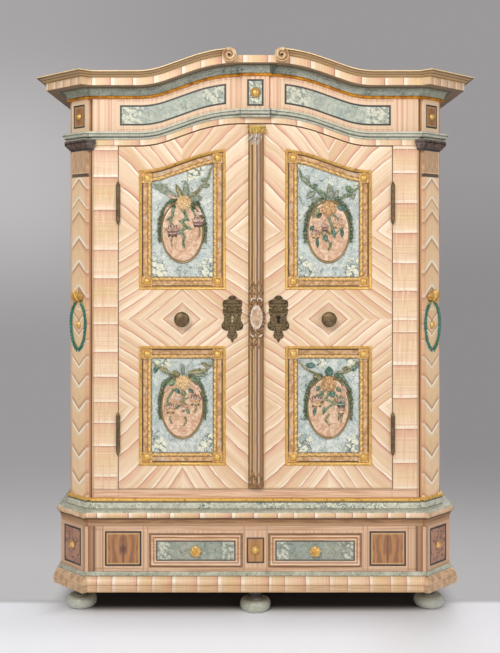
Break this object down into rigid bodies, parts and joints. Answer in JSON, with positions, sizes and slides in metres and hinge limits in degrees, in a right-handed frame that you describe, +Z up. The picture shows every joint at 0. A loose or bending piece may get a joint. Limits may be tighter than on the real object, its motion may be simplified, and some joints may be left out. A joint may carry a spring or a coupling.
{
  "type": "kas cupboard",
  "caption": "Painted kas cupboard with a serpentine cornice, a pair of panelled doors between chamfered corners and a plinth with drawers on bun feet.",
  "frame": {"origin": "centre of the bounding box on the ground under the feet", "axes": "+X to the right seen from the front, +Y towards the back, +Z up"},
  "size_m": [1.556, 0.6672, 1.9763],
  "materials": {
    "green_marbling": "semi-gloss paint",
    "cross_banding": "semi-gloss paint",
    "blue_marbling": "semi-gloss paint",
    "gilding": "gilt",
    "dark_marbling": "semi-gloss paint",
    "iron": "burnished",
    "painted_veneer": "semi-gloss paint",
    "bare_pine": "matt"
  },
  "bodies": {
    "cabinet": {"architrave": "green_marbling", "back_boards": "bare_pine", "base_fillet": "green_marbling", "base_moulding": "cross_banding", "bun_feet": "green_marbling", "case_floor": "bare_pine", "case_sides": "painted_veneer", "corner_posts": "painted_veneer", "cornice_band": "cross_banding", "cornice_cove": "blue_marbling", "cornice_crown": "painted_veneer", "drawer_partitions": "bare_pine", "drawer_runners": "bare_pine", "face_frame": "painted_veneer", "frieze_board": "painted_veneer", "gilt_beads": "gilding", "gilt_bosses": "gilding", "head_strip": "cross_banding", "hinge_posts": "iron", "pilaster_capitals": "dark_marbling", "pilaster_wreaths": "gilding", "pilasters": "painted_veneer", "plinth_back": "bare_pine", "plinth_cove": "painted_veneer", "plinth_floor": "bare_pine", "plinth_front": "painted_veneer", "plinth_sides": "painted_veneer", "roof_board": "bare_pine", "shelf_cleats": "bare_pine", "shelves": "bare_pine", "waist_nosing": "cross_banding", "waist_strip": "blue_marbling"},
    "left_door": {"left_door_escutcheon": "iron", "left_door_frame": "painted_veneer", "left_door_garlands": "gilding", "left_door_gilt_mouldings": "gilding", "left_door_hinge_caps": "iron", "left_door_keeps": "iron", "left_door_knob": "iron", "left_door_medallions": "gilding", "left_door_panels": "blue_marbling"},
    "right_door": {"right_door_escutcheon": "iron", "right_door_frame": "painted_veneer", "right_door_garlands": "gilding", "right_door_gilt_mouldings": "gilding", "right_door_hinge_caps": "iron", "right_door_knob": "iron", "right_door_medallions": "gilding", "right_door_panels": "blue_marbling", "door_astragal": "painted_veneer", "lock_case": "iron"},
    "lock_bolt": {"lock_bolt": "iron"},
    "top_bolt": {"top_bolt": "iron"},
    "bottom_bolt": {"bottom_bolt": "iron"},
    "left_drawer": {"left_drawer_box": "bare_pine", "left_drawer_front": "painted_veneer", "left_drawer_pull": "gilding"},
    "right_drawer": {"right_drawer_box": "bare_pine", "right_drawer_front": "painted_veneer", "right_drawer_pull": "gilding"}
  },
  "joints": [
    {"name": "left_door_hinge", "type": "hinge", "parent": "cabinet", "child": "left_door", "pos_m": [-0.483, -0.1944, 1.042], "axis": [0, 0, 1], "range_deg": [-110, 0]},
    {"name": "right_door_hinge", "type": "hinge", "parent": "cabinet", "child": "right_door", "pos_m": [0.483, -0.1944, 1.042], "axis": [0, 0, 1], "range_deg": [0, 110]},
    {"name": "left_drawer_slide", "type": "slide", "parent": "cabinet", "child": "left_drawer", "axis": [0, -1, 0], "range_m": [0, 0.32]},
    {"name": "right_drawer_slide", "type": "slide", "parent": "cabinet", "child": "right_drawer", "axis": [0, -1, 0], "range_m": [0, 0.32]},
    {"name": "lock_bolt_slide", "type": "slide", "parent": "right_door", "child": "lock_bolt", "axis": [-1, 0, 0], "range_m": [0, 0.012]},
    {"name": "top_bolt_slide", "type": "slide", "parent": "left_door", "child": "top_bolt", "axis": [0, 0, 1], "range_m": [0, 0.012]},
    {"name": "bottom_bolt_slide", "type": "slide", "parent": "left_door", "child": "bottom_bolt", "axis": [0, 0, -1], "range_m": [0, 0.012]}
  ]
}
